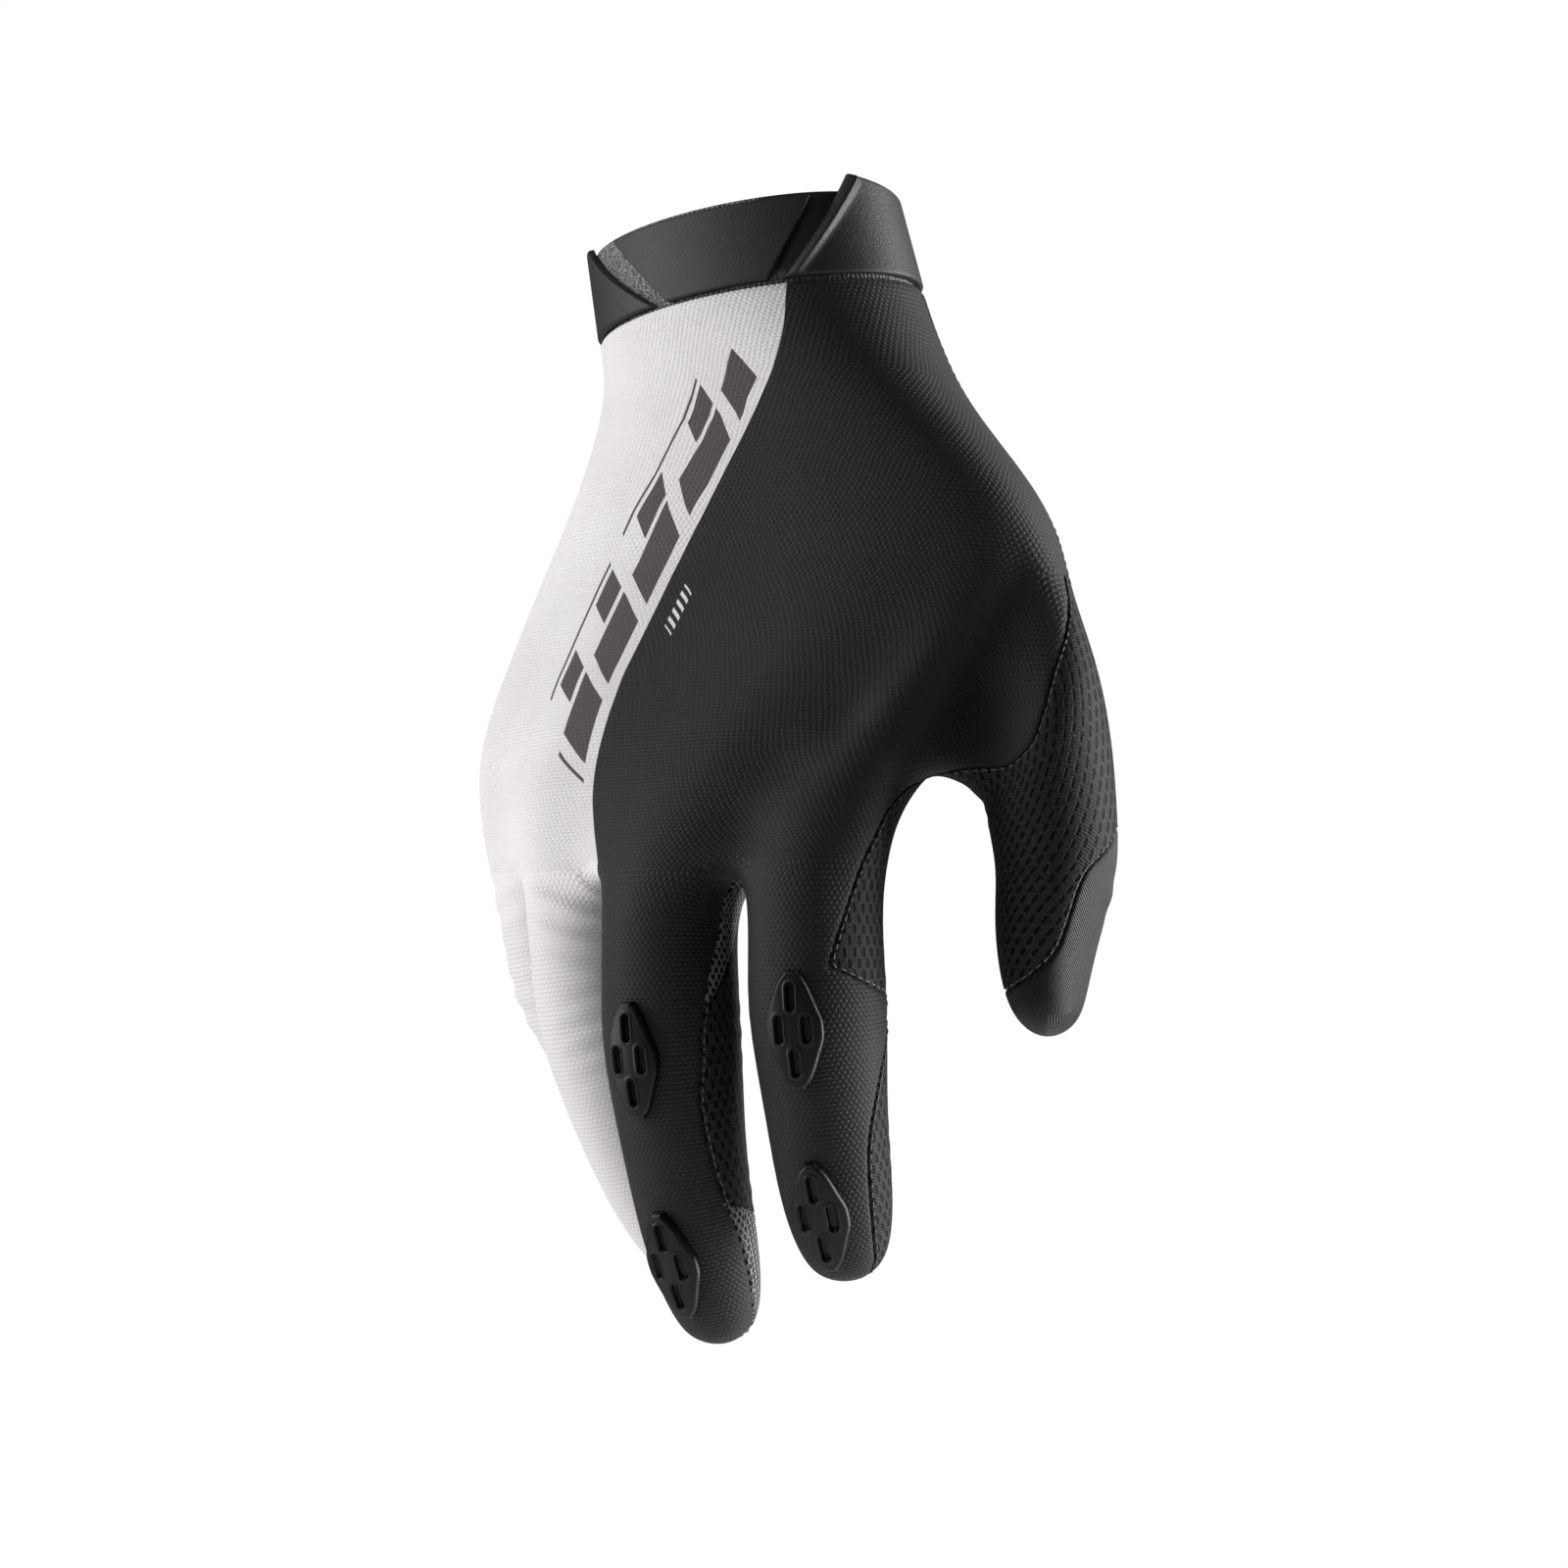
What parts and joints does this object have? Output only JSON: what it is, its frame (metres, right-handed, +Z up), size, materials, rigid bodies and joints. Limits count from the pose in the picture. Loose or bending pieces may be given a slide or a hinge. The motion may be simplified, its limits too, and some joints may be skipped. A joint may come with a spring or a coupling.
{
  "type": "motocross glove",
  "caption": "Full-finger knit riding glove with a slip-on elastic cuff, rubber finger pads, mesh inserts and a perforated palm.",
  "frame": {"origin": "centre of the cuff's mouth, where the wrist goes in", "axes": "+Z up out of the cuff, with the fingers pointing to -Z; -Y is the back of the hand; +X is the thumb's side"},
  "size_m": [0.1212, 0.0656, 0.1948],
  "materials": {
    "black_knit": "fine ribbed knit, with a white printed side",
    "black_perforated": "perforated synthetic suede",
    "black_mesh": "open mesh",
    "grey_elastic": "speckled woven elastic",
    "cuff_rubber": "fine-grained matte",
    "pad_rubber": "satin"
  },
  "bodies": {
    "root": {"knit_back": "black_knit", "palm": "black_perforated", "thumb_wrap": "black_perforated", "thumb_tip": "black_knit", "fingertip_mesh": "black_mesh", "fourchette_index_middle": "black_mesh", "fourchette_middle_ring": "black_mesh", "fourchette_ring_little": "black_mesh", "cuff_band": "grey_elastic", "cuff_thumb_panel": "cuff_rubber", "cuff_back_panel": "cuff_rubber", "cuff_side_panel": "cuff_rubber", "index_knuckle_pad": "pad_rubber", "index_tip_pad": "pad_rubber", "middle_knuckle_pad": "pad_rubber", "middle_tip_pad": "pad_rubber"}
  },
  "joints": []
}
